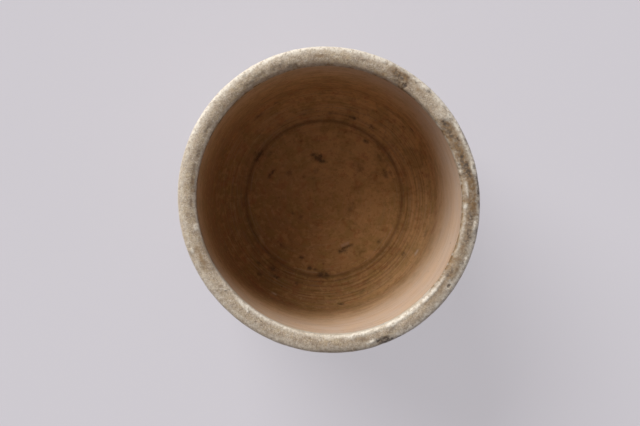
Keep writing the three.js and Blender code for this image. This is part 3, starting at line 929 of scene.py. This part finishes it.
def stoneware_material(look):
    """Buff stoneware, thrown and left unglazed: chalky and warm, drawn out in fine lines round the wheel,
    browned with olive and russet streaks where smoky stain and ash lay inside, and peppered with iron. The
    brown is also painted shade: it climbs higher on the side in the rim's shadow and is darkest low down on
    one side."""
    finish = Finish("thrown_unglazed_stoneware")
    tree, at, patches = finish.tree, finish.at, finish.patches
    wheel, radius = finish.wheel_place()
    # Painted shade: the smoky stain is laid higher up the wall on the side in the rim's shadow, so its
    # height is measured on a slant
    slanted = add(tree, "VectorMath", {0: at, 1: (0.37, -0.26, 1.0)}, DOT, "Value")
    smoke_and_shade_limits = {"From Min": disc_high.z + 88 * MM, "From Max": disc_high.z + 18 * MM, "To Max": 0.97}
    smoke_and_shade = add(tree, "MapRange", {"Value": slanted, **smoke_and_shade_limits}, SMOOTH_STEP)
    # Little of the stain and its painted shade is laid on the underside
    inside_limits = {"From Min": disc_low.z - 2 * MM, "From Max": disc_low.z + 1 * MM, "To Min": 0.25}
    inside = add(tree, "MapRange", {"Value": finish.height, **inside_limits}, SMOOTH_STEP)
    smoke_and_shade = add(tree, "Math", {0: smoke_and_shade, 1: inside}, TIMES)
    # Painted shade: the darkest brown is laid low down on one side, darkening the floor and the foot of the
    # wall there
    sideways = add(tree, "VectorMath", {0: at, 1: (-0.82, -0.57, -0.35)}, DOT, "Value")
    deep_limits = {"Value": sideways, "From Min": -75 * MM, "From Max": 50 * MM, "To Max": 0.97}
    deep = add(tree, "MapRange", deep_limits, SMOOTH_STEP)
    thick = add(tree, "Math", {0: smoke_and_shade, 1: smoke_and_shade}, TIMES)
    darkest = add(tree, "Math", {0: deep, 1: thick}, TIMES)
    # The disc was smoothed after turning, so few lines show on it
    disc_edge = disc_high.x - 2 * MM
    turned_limits = {"Value": radius, "From Min": disc_edge - 3 * MM, "From Max": disc_edge, "To Min": 0.3}
    turned = add(tree, "MapRange", turned_limits, SMOOTH_STEP)
    lines_in_stain_and_shade = add(tree, "Math", {0: smoke_and_shade, 1: turned}, TIMES)
    base = finish.lay(
        opaque(look.buff),
        (patches(at, 14 * MM, 0.30, 0.70, 0.25), look.toasted_and_shade_brown),
        (smoke_and_shade, look.toasted_and_shade_brown),
        (darkest, look.painted_shade_umber),
        (patches(wheel, 2.6 * MM, 0.46, 0.64, 0.40, lines_in_stain_and_shade), look.olive),
        (patches(wheel, 1.7 * MM, 0.54, 0.68, 0.35, turned), look.russet),
        (patches(wheel, 1.3 * MM, 0.52, 0.66, 0.22, lines_in_stain_and_shade), look.toasted_and_shade_brown),
        (patches(at, 9 * MM, 0.44, 0.62, 0.45, smoke_and_shade), look.olive),
        (patches(at, 5 * MM, 0.52, 0.66, 0.40, smoke_and_shade), look.russet),
        (patches(at, 3 * MM, 0.50, 0.64, 0.28, smoke_and_shade), look.toasted_and_shade_brown),
        (patches(wheel, 1.1 * MM, 0.52, 0.66, 0.20, turned), look.buff),
        (patches(wheel, 0.9 * MM, 0.50, 0.70, 0.22, turned), look.iron),
        (patches(at, 1.6 * MM, 0.52, 0.66, 0.27, smoke_and_shade), look.char),
        (patches(at, 1.8 * MM, 0.68, 0.74, 0.50), look.iron),
        (finish.specks(6 * MM, 1.3 * MM, 0.7, smoke_and_shade), look.char),
        # The stored rust share includes the dirt and painted shade in the finger grooves
        (finish.rust, look.char),
        (finish.gathered(finish.soot, 2.4 * MM, 0.72, 0.45), look.iron),
        (finish.cream, look.buff),
    )
    lines = add(tree, "TexNoise", {"Vector": wheel, "Scale": 1 / (0.9 * MM), "Detail": 3.0})
    grit = {"Vector": at, "Scale": 1 / (0.8 * MM), "Detail": 2.0, "Roughness": 0.7}
    sand = add(tree, "TexNoise", grit)
    relief = add(tree, "Math", {0: lines, 1: sand}, PLUS)
    return finish.end(base, look.roughness, relief, 0.05 * MM)


def glaze_material(look, clay):
    """Ivory feldspar glaze, dipped and fired: glossy and cream outside with warm clouds and a faint net of
    stained cracks, rubbed dull, mottled and pitted on the rim, and wiped off the pads of the feet."""
    finish = Finish("dipped_ivory_feldspar_glaze")
    tree, at, patches = finish.tree, finish.at, finish.patches
    rim_limits = {"From Min": bowl_high.z - 1.7 * MM, "From Max": bowl_high.z - 0.7 * MM}
    rim = add(tree, "MapRange", {"Value": finish.height, **rim_limits}, SMOOTH_STEP)
    # The pads were wiped up to a ragged edge
    ragged = add(tree, "TexNoise", {"Vector": at, "Scale": 1 / (4 * MM), "Detail": 3.0})
    edge_limits = {"From Min": 0.3, "From Max": 0.7, "To Min": 3.4 * MM, "To Max": 1.4 * MM}
    pad_edge = add(tree, "MapRange", {"Value": ragged, **edge_limits})
    above = add(tree, "Math", {0: finish.height, 1: pad_edge}, MINUS)
    pad_limits = {"Value": above, "From Min": 0.3 * MM, "From Max": -0.3 * MM}
    pad = add(tree, "MapRange", pad_limits, SMOOTH_STEP)
    rubbed = add(tree, "Math", {0: rim, 1: pad}, LARGER)
    glossy = add(tree, "Math", {0: 1.0, 1: rubbed}, MINUS)
    # Long cracks opened first, then shorter ones between them, which took up dirt only here and there
    bent = finish.bent(7 * MM, 1.5 * MM)
    dirty = patches(at, 13 * MM, 0.38, 0.62, 1.0, glossy)
    long_cracks = finish.cracks(bent, 2.5 * look.crackle_size, 0.15 * MM, 0.34, glossy)
    short_cracks = finish.cracks(bent, look.crackle_size, 0.13 * MM, 0.26, dirty)
    net = add(tree, "Math", {0: long_cracks, 1: short_cracks}, LARGER)
    pits = patches(at, 1.1 * MM, 0.66, 0.74, 0.8, rim)
    base = finish.lay(
        opaque(look.ivory),
        (patches(at, 16 * MM, 0.40, 0.70, 0.45), look.honey),
        (patches(at, 5 * MM, 0.50, 0.75, 0.35), look.honey),
        (add(tree, "Math", {0: rim, 1: 0.9}, TIMES), look.worn),
        (patches(at, 7 * MM, 0.45, 0.70, 0.40, rim), look.honey),
        (patches(at, 4.0 * MM, 0.50, 0.70, 0.30, rim), look.rust),
        (patches(at, 2.8 * MM, 0.44, 0.62, 0.50, rim), look.ash),
        (patches(at, 1.8 * MM, 0.52, 0.68, 0.40, rim), look.cream),
        (patches(at, 2.2 * MM, 0.52, 0.64, 0.35, rim), clay.buff),
        (patches(at, 1.5 * MM, 0.54, 0.66, 0.35, rim), look.honey),
        (patches(at, 0.7 * MM, 0.46, 0.60, 0.52, rim), look.ash),
        (patches(at, 0.6 * MM, 0.54, 0.66, 0.40, rim), look.cream),
        # The stored cream includes a painted highlight along the rim's outer edge, and the stored rust
        # includes painted shade along its inner round
        (finish.gathered(finish.rust, 2.4 * MM, 1.0), look.rust),
        (finish.gathered(finish.cream, 1.6 * MM, 1.0), look.cream),
        (net, look.soot),
        (finish.specks(8 * MM, 0.7 * MM, 0.6, glossy), look.soot),
        (pits, look.soot),
        (finish.gathered(finish.soot, 1.3 * MM, 0.95), look.soot),
        (pad, clay.buff),
    )
    bare = add(tree, "Math", {0: pad, 1: finish.soot}, LARGER)
    dull = add(tree, "Math", {0: rim, 1: bare}, LARGER)
    roughness_limits = {"Value": dull, "To Min": look.roughness, "To Max": look.worn_roughness}
    roughness = add(tree, "MapRange", roughness_limits)
    grain = {"Vector": at, "Scale": 1 / (1.2 * MM), "Detail": 3.0, "Roughness": 0.65}
    skin = add(tree, "TexNoise", grain)
    sunken = add(tree, "Math", {0: pits, 1: net}, PLUS)
    relief = add(tree, "Math", {0: skin, 1: sunken}, MINUS)
    return finish.end(base, roughness, relief, 0.09 * MM)


# Pieces


def settle(made, material, slot, *nodes):
    """Gives a piece its material and its body, and hides what it replaces. The slot is not used."""
    made.data.materials.append(material)
    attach(made, BODY)
    if nodes:
        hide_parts(*nodes)


def clay_finish(context):
    """The bare clay, made on first use."""
    found = bpy.data.materials.get("thrown_unglazed_stoneware")
    return found or stoneware_material(context.scene.burner_clay)


def glaze_finish(context):
    """The glaze, made on first use."""
    found = bpy.data.materials.get("dipped_ivory_feldspar_glaze")
    return found or glaze_material(context.scene.burner_glaze, context.scene.burner_clay)


# The seam round the floor disc is a shallow soft groove. Its points lie so many millimetres off and down.
SEAM_STEPS = ((1.6, 0), (1.1, 0.02), (0.6, 0.06), (0.2, 0.09), (0, 0.1), (0, 0.6))
SEAM_GAP = 0.02 * MM
# The disc stands on a ledge with this much slip between, and its lower edge is cut away this much
SLIP = 0.3 * MM
DISC_CHAMFER = 0.5 * MM
# The edge of the bore in the underside is rounded by this radius
BORE_ROUND = 0.6 * MM


class BURNER_OT_thrown_bowl(bpy.types.Operator):
    """Throw the clay bowl: wall, curved floor, underside and the rebate for its floor disc"""

    bl_idname = "burner.thrown_bowl"
    bl_label = "Thrown Bowl"

    def execute(self, context):
        sizes = context.scene.burner_bowl
        shape = BowlShape(sizes, context.scene.burner_glaze)
        seat = shape.disc + SEAM_GAP
        ledge = disc_low.z - SLIP
        outline = Outline()
        rounded = (shape.bore + BORE_ROUND, shape.underside + BORE_ROUND)
        outline.add("underside", arc(rounded, BORE_ROUND, 180, 270, spacing=0.3 * MM))
        corner_start = (shape.wall_foot - shape.corner, shape.underside + shape.coat)
        bore_end = (rounded[0], shape.underside)
        outline.add("underside", line(bore_end, corner_start, spacing=2.4 * MM))
        shape.draw_wall(outline, corner_spacing=0.9 * MM, wall_spacing=1.5 * MM)
        shape.draw_mouth(outline, spacing=0.8 * MM)
        wall_end = (shape.inner_wall_foot, shape.floor + shape.inner_corner)
        outline.add("inner_wall", line(outline.points[-1], wall_end, spacing=1.0 * MM))
        centre = (shape.flat_floor, wall_end[1])
        outline.add("curve", arc(centre, shape.inner_corner, 0, -90, spacing=0.31 * MM))
        outline.add("ledge", [(seat + off * MM, shape.floor - down * MM) for off, down in SEAM_STEPS])
        outline.add("rebate", [(seat, ledge), (shape.bore, ledge)])
        outline.measure(closed=True)
        made = spin_outline("thrown_bowl", outline, sizes.clay_steps)
        sculpt(made, outline, shape, lift_bowl)
        settle(made, clay_finish(context), CLAY_SLOT, "bowl_body")
        return {"FINISHED"}


class BURNER_OT_glaze_coat(bpy.types.Operator):
    """Coat the mouth and the outside wall with glaze that ends in a rolled edge"""

    bl_idname = "burner.glaze_coat"
    bl_label = "Glaze Coat"

    def execute(self, context):
        sizes = context.scene.burner_bowl
        shape = BowlShape(sizes, context.scene.burner_glaze)
        rim = Outline()
        shape.draw_mouth(rim, spacing=0.32 * MM)
        self.coat("rim_glaze", rim, shape, sizes.rim_steps)
        wall = Outline()
        shape.draw_wall(wall, corner_spacing=0.5 * MM, wall_spacing=0.55 * MM)
        self.coat("wall_glaze", wall, shape, sizes.wall_steps)
        return {"FINISHED"}

    def coat(self, name, outline, shape, steps):
        outline.back_in_clay()
        made = spin_outline(name, outline, steps)
        sculpt(made, outline, shape, lift_glaze)
        settle(made, glaze_finish(bpy.context), GLAZE_SLOT)


class BURNER_OT_floor_disc(bpy.types.Operator):
    """Set the separately thrown disc into the floor"""

    bl_idname = "burner.floor_disc"
    bl_label = "Floor Disc"

    def execute(self, context):
        shape = BowlShape(context.scene.burner_bowl, context.scene.burner_glaze)
        low, high = disc_low.z, disc_high.z
        outline = Outline()
        chamfer = (shape.disc - DISC_CHAMFER, low)
        outline.add("below", line((0, low), chamfer, spacing=2.5 * MM))
        outline.add("edge", [(shape.disc, low + DISC_CHAMFER)])
        seam = [(shape.disc - off * MM, high - down * MM) for off, down in reversed(SEAM_STEPS)]
        outline.add("edge", seam)
        outline.add("top", line(outline.points[-1], (0, high), spacing=0.5 * MM))
        outline.measure(closed=False)
        made = spin_outline("set_in_disc", outline, context.scene.burner_bowl.clay_steps)
        sculpt(made, outline, shape, lift_disc)
        settle(made, clay_finish(context), CLAY_SLOT, "floor_disc")
        return {"FINISHED"}


# The shares of soot and rust in the cuts of the feet
CUT_SOOT = 0.45
CUT_RUST = 0.25


class BURNER_OT_cloud_feet(bpy.types.Operator):
    """Press the three cloud feet and lute them under the bowl"""

    bl_idname = "burner.cloud_feet"
    bl_label = "Cloud Feet"

    def execute(self, context):
        sizes = context.scene.burner_foot
        shape = BowlShape(context.scene.burner_bowl, context.scene.burner_glaze)
        for node in FOOT_NODES:
            made = press_foot(f"cloud_{node}", sizes)
            at, cuts = carve_scrolls(sizes, coordinates(made.data), foot_angle(node))
            at = cap_in_clay(shape, at)
            turn = Matrix.Rotation(foot_angle(node), 3, "Z")
            set_coordinates(made.data, at @ np.array(turn).T)
            store_stains(made.data, CUT_SOOT * cuts, CUT_RUST * cuts, np.zeros(len(at)))
            settle(made, glaze_finish(context), GLAZE_SLOT, node)
        return {"FINISHED"}


def foot_angle(node):
    """Where a foot stands round the bowl."""
    pad = mount_places[f"{node}_pad"]
    return math.atan2(pad[1], pad[0])


def curved(start, control, end, steps):
    """Points on a curve drawn towards a control point, without its last."""
    shares = [i / steps for i in range(steps)]
    return [
        tuple((1 - t) ** 2 * s + 2 * (1 - t) * t * c + t * t * e for s, c, e in zip(start, control, end))
        for t in shares
    ]


# The side lobe and the crown show between these angles in degrees
LOBE_ANGLES = (-90, 68)
CROWN_ANGLES = (8, 90)
LOBE_SPACING = 0.9 * MM


def foot_front_outline(sizes):
    """The right half of the foot seen from outside, from the pad up to the crown."""
    waist = (sizes.waist_half_width, sizes.waist_height)
    under = (sizes.lobe_offset, sizes.lobe_height - sizes.lobe_radius)
    half = curved((sizes.pad_half_width, 0), (waist[0], waist[1] / 2), waist, steps=6)
    half += curved(waist, (waist[0], under[1]), under, steps=5)
    lobe_centre = (sizes.lobe_offset, sizes.lobe_height)
    lobe = arc(lobe_centre, sizes.lobe_radius, *LOBE_ANGLES, LOBE_SPACING)
    crown = arc((0, sizes.crown_height), sizes.crown_radius, *CROWN_ANGLES, LOBE_SPACING)
    return half + lobe + crown


def foot_front(sizes, height):
    """How far the foot's front stands from the bowl's axis at a height."""
    knee = (sizes.knee_radius, sizes.knee_height)
    top = (sizes.knee_radius - sizes.top_inset, foot_high.z)
    side = curved((sizes.pad_front, 0), (sizes.pad_front, sizes.waist_height), knee, steps=24)
    side += curved(knee, (knee[0], top[1] - sizes.top_inset), top, steps=24) + [top]
    radii, heights = zip(*side)
    return np.interp(height, heights, radii)


# A foot is sliced this finely before its front is bent to its curve
SLICE_HEIGHT = 0.8 * MM
# How many times the points of a foot are evened out, as pressed clay is soft
SOFTENINGS = 3


def press_foot(name, sizes):
    """A foot that stands in the +X direction: a cloud head on a waist and a pad, without its scrolls."""
    right = foot_front_outline(sizes)
    left = [(-side, height) for side, height in reversed(right) if abs(side) > SAME_POINT]
    thickness = sizes.knee_radius - sizes.back
    bm = bmesh.new()
    face = bm.faces.new([bm.verts.new((sizes.back, side, height)) for side, height in right + left])
    pushed = bmesh.ops.extrude_face_region(bm, geom=[face])
    front = [part for part in pushed["geom"] if isinstance(part, bmesh.types.BMVert)]
    bmesh.ops.translate(bm, verts=front, vec=(thickness, 0, 0))
    bmesh.ops.recalc_face_normals(bm, faces=bm.faces)
    rim = [edge for edge in bm.edges if all(vert in front for vert in edge.verts)]
    bmesh.ops.bevel(
        bm, geom=rim, offset=sizes.edge_round, segments=4, profile=0.5, affect="EDGES", material=-1
    )
    for i in range(1, math.ceil(foot_high.z / SLICE_HEIGHT)):
        everything = bm.verts[:] + bm.edges[:] + bm.faces[:]
        bmesh.ops.bisect_plane(bm, geom=everything, plane_co=(0, 0, i * SLICE_HEIGHT), plane_no=(0, 0, 1))
    for vert in bm.verts:
        share = (vert.co.x - sizes.back) / thickness
        vert.co.x -= share * (sizes.knee_radius - float(foot_front(sizes, vert.co.z)))
    bmesh.ops.triangulate(bm, faces=bm.faces)
    made = finished(name, bm)
    even_out(made, sizes.grain)
    return made


def even_out(made, spacing):
    """Gives a piece an even mesh of this spacing, and softens it."""
    remesh = made.modifiers.new("even_clay", "REMESH")
    remesh.mode = "VOXEL"
    remesh.voxel_size = spacing
    even = bpy.data.meshes.new_from_object(made.evaluated_get(bpy.context.evaluated_depsgraph_get()))
    made.modifiers.clear()
    made.data = even
    bm = bmesh.new()
    bm.from_mesh(even)
    for _ in range(SOFTENINGS):
        bmesh.ops.smooth_vert(
            bm, verts=bm.verts, factor=0.5, use_axis_x=True, use_axis_y=True, use_axis_z=True
        )
    bm.to_mesh(even)
    bm.free()
    even.shade_smooth()


# The forms of the cloud head run together over about this distance
HEAD_SOFTNESS = 0.35 * MM
# Between the lobes the head is wider than the waist by this much on each side
HEAD_EXTRA = 1 * MM
# Above the middle of the crown no point counts as inside the stem
FAR_OUTSIDE = -1.0


def inside_foot(sizes, side, height):
    """How far a point of the foot's front lies inside its outline, where its forms run softly together."""
    lobe = sizes.lobe_radius - np.hypot(np.abs(side) - sizes.lobe_offset, height - sizes.lobe_height)
    crown = sizes.crown_radius - np.hypot(side, height - sizes.crown_height)
    in_stem = sizes.waist_half_width + HEAD_EXTRA - np.abs(side)
    stem = np.where(height < sizes.crown_height, in_stem, FAR_OUTSIDE)
    lobes = np.logaddexp(lobe / HEAD_SOFTNESS, crown / HEAD_SOFTNESS)
    return HEAD_SOFTNESS * np.logaddexp(lobes, stem / HEAD_SOFTNESS)


# The cloud head begins between these heights. Its front ends between these depths behind the knee's curve.
HEAD_HEIGHTS = (6 * MM, 10 * MM)
FRONT_DEPTHS = (4.5 * MM, 2.5 * MM)
# Half the width of a cut line, and the radius of the ring cut in the crown
CUT_HALF_WIDTH = 0.5 * MM
CROWN_RING = 2.6 * MM
# A curl begins this far from the middle of its lobe and this share of a turn before its outer side, and
# winds out by this much in one turn. Its cut fades in and out over these shares of a turn.
CURL_START = 0.8 * MM
CURL_TURN = 0.3
CURL_GROWTH = 2.2 * MM
CURL_FADES = (0.06, 0.08)
# The head swells by this much, which it reaches this far inside its outline
SWELL = 0.5 * MM
SWELL_REACH = 3.5 * MM
# The pressed clay is uneven by this height, in lumps of this size, which lie elsewhere on each foot
PRESSED_HEIGHT = 0.08 * MM
PRESSED_SIZE = 3 * MM
PRESSED_SHIFT = 30 * MM


def carve_scrolls(sizes, at, turn):
    """Swells the cloud head, and cuts a line inside its edge, a curl in each side lobe and a ring in the
    crown. Gives the vertices and how much of a cut runs through each."""
    side, height = at[:, 1], at[:, 2]
    facing = smooth(*FRONT_DEPTHS, foot_front(sizes, height) - at[:, 0])
    inside = inside_foot(sizes, side, height)
    head = smooth(*HEAD_HEIGHTS, height)
    cut = np.exp(-(((inside - sizes.scroll_inset) / CUT_HALF_WIDTH) ** 2)) * head
    for hand in (-1, 1):
        across = hand * side - sizes.lobe_offset
        away = np.hypot(across, height - sizes.lobe_height)
        turned = (np.arctan2(height - sizes.lobe_height, across) / FULL_TURN + CURL_TURN) % 1
        curl = CURL_START + CURL_GROWTH * turned
        ends = smooth(0, CURL_FADES[0], turned) * smooth(1, 1 - CURL_FADES[1], turned)
        cut += np.exp(-(((away - curl) / CUT_HALF_WIDTH) ** 2)) * ends
    away = np.hypot(side, height - sizes.crown_height)
    cut += np.exp(-(((away - CROWN_RING) / CUT_HALF_WIDTH) ** 2))
    cut = np.clip(cut, 0, 1) * facing
    swell = SWELL * smooth(0, SWELL_REACH, inside) * head * facing
    shift = np.array([0, 0, PRESSED_SHIFT * turn])
    uneven = PRESSED_HEIGHT * lumps(at + shift, PRESSED_SIZE, octaves=2)
    at[:, 0] += swell - sizes.scroll_depth * cut + uneven * facing
    at[:, 2] = np.maximum(at[:, 2], foot_low.z)
    return at, cut


# A foot's hidden end lies this deep in the clay. Its points move away from a centre inside the bowl, given
# by its radius and height, by up to this factor, which is found by so many halvings.
CAP_DEPTH = 1.5 * MM
CAP_CENTRE = (46 * MM, 32 * MM)
CAP_MOST = 8.0
HALVINGS = 30


def cap_in_clay(shape, at):
    """Draws what lies deep inside the bowl back out, so that the foot ends in a cap just under the
    surface."""
    reach = at[:, [0, 2]] - CAP_CENTRE
    low, high = np.ones(len(at)), np.full(len(at), CAP_MOST)
    deep = shape.depth_in_clay(np.hypot(at[:, 0], at[:, 1]), at[:, 2]) > CAP_DEPTH
    for _ in range(HALVINGS):
        middle = (low + high) / 2
        moved = CAP_CENTRE + middle[:, None] * reach
        inside = shape.depth_in_clay(np.hypot(moved[:, 0], at[:, 1]), moved[:, 1]) > CAP_DEPTH
        low, high = np.where(inside, middle, low), np.where(inside, high, middle)
    moved = CAP_CENTRE + low[:, None] * reach
    capped = np.column_stack([moved[:, 0], at[:, 1], moved[:, 1]])
    return np.where(deep[:, None], capped, at)


# Stage

# Width of the film in millimetres
SENSOR_WIDTH = 36.0
# Where the camera aims in the mouth's plane, and the direction from there to it
AIM_POINT = (-4.4 * MM, -5.8 * MM)
CAMERA_LEAN = (-0.025, 0.0216, 1.0)
# How bright the floor and the walls look to the camera and in reflections, as a share of their colour
FLOOR_GLOW = 0.85
WALL_GLOW = 0.85
# How much of what the camera sees of the floor is this glow. The rest is lit, and holds the shadow.
GLOW_SHARE = 0.66


class BURNER_OT_stage(bpy.types.Operator):
    """Lay the pale floor, hang the soft lamp and set the camera over the mouth"""

    bl_idname = "burner.stage"
    bl_label = "Stage"

    def execute(self, context):
        look = context.scene.burner_stage
        scene = context.scene
        bm = bmesh.new()
        bmesh.ops.create_grid(bm, x_segments=1, y_segments=1, size=look.floor_size / 2)
        floor = finished("pale_floor", bm)
        floor.data.materials.append(paper_material(look))
        lamp = bpy.data.lights.new("soft_lamp", "SUN")
        lamp.energy = look.lamp_strength
        lamp.angle = look.lamp_softness
        hung = bpy.data.objects.new("soft_lamp", lamp)
        raised = Matrix.Rotation(math.pi / 2 - look.lamp_elevation, 4, "X")
        hung.matrix_world = Matrix.Rotation(look.lamp_azimuth + math.pi / 2, 4, "Z") @ raised
        scene.collection.objects.link(hung)
        world = bpy.data.worlds.new("studio")
        world.use_nodes = True
        light_world(world.node_tree, look)
        scene.world = world
        set_camera(scene, look)
        scene.view_settings.view_transform = "Standard"
        return {"FINISHED"}


def set_camera(scene, look):
    """Hangs the camera over the mouth, leaning a little as in the photograph."""
    data = bpy.data.cameras.new("camera")
    data.lens = look.lens
    data.sensor_width = SENSOR_WIDTH
    camera = bpy.data.objects.new("camera", data)
    back = Vector(CAMERA_LEAN).normalized()
    right = Vector((0, 1, 0)).cross(back).normalized()
    turn = Matrix((right, back.cross(right), back)).transposed().to_4x4()
    aim = Vector((*AIM_POINT, bowl_high.z))
    camera.matrix_world = Matrix.Translation(aim + back * look.distance) @ turn
    scene.collection.objects.link(camera)
    scene.camera = camera


def seen_directly(tree):
    """1 for rays from the camera, in reflections and through glass, and 0 for the rest."""
    rays = add(tree, "LightPath", {}, output=None).outputs
    seen = add(tree, "Math", {0: rays["Is Camera Ray"], 1: rays["Is Glossy Ray"]}, LARGER)
    return add(tree, "Math", {0: seen, 1: rays["Is Transmission Ray"]}, LARGER)


def paper_material(look):
    """Matte paper of a light tent: pale, even and without gloss. To the camera it also glows, so that the
    burner's shadow stays soft."""
    made = bpy.data.materials.new("matte_paper")
    made.use_nodes = True
    tree = made.node_tree
    tree.nodes.clear()
    paper = add(tree, "BsdfDiffuse", {"Color": opaque(look.floor_colour)})
    glow = add(tree, "Emission", {"Color": opaque(look.floor_colour), "Strength": FLOOR_GLOW})
    share = add(tree, "Math", {0: seen_directly(tree), 1: GLOW_SHARE}, TIMES)
    mixed = add(tree, "MixShader", {0: share, 1: paper, 2: glow})
    add(tree, "OutputMaterial", {"Surface": mixed}, output=None)
    return made


def light_world(tree, look):
    """Fills the room with an even light, and shows the camera a pale wall."""
    tree.nodes.clear()
    fill = add(tree, "Background", {"Color": opaque(look.floor_colour), "Strength": look.fill_strength})
    wall = add(tree, "Background", {"Color": opaque(look.floor_colour), "Strength": WALL_GLOW})
    mixed = add(tree, "MixShader", {0: seen_directly(tree), 1: fill, 2: wall})
    add(tree, "OutputWorld", {"Surface": mixed}, output=None)


class BURNER_PT_panel(bpy.types.Panel):
    """The burner's pieces and their sizes"""

    bl_label = "Tripod Incense Burner"
    bl_idname = "BURNER_PT_panel"
    bl_space_type = "VIEW_3D"
    bl_region_type = "UI"
    bl_category = "Burner"

    def draw(self, context):
        for operator in OPERATORS:
            self.layout.operator(operator.bl_idname)
        for group in GROUPS:
            box = self.layout.box()
            settings = getattr(context.scene, group)
            for name in settings.__annotations__:
                box.prop(settings, name)


OPERATORS = (
    BURNER_OT_thrown_bowl,
    BURNER_OT_glaze_coat,
    BURNER_OT_floor_disc,
    BURNER_OT_cloud_feet,
    BURNER_OT_stage,
)
GROUPS = {
    "burner_bowl": BurnerBowlSizes,
    "burner_foot": BurnerFootSizes,
    "burner_glaze": BurnerGlazeLook,
    "burner_clay": BurnerClayLook,
    "burner_stage": BurnerStageLook,
}


def register():
    for cls in (*GROUPS.values(), *OPERATORS, BURNER_PT_panel):
        bpy.utils.register_class(cls)
    for name, cls in GROUPS.items():
        setattr(bpy.types.Scene, name, PointerProperty(type=cls))


def unregister():
    for name in GROUPS:
        delattr(bpy.types.Scene, name)
    for cls in reversed((*GROUPS.values(), *OPERATORS, BURNER_PT_panel)):
        bpy.utils.unregister_class(cls)


def main():
    register()
    bpy.ops.burner.thrown_bowl()
    bpy.ops.burner.glaze_coat()
    bpy.ops.burner.floor_disc()
    bpy.ops.burner.cloud_feet()
    bpy.ops.burner.stage()


if __name__ == "__main__":
    main()
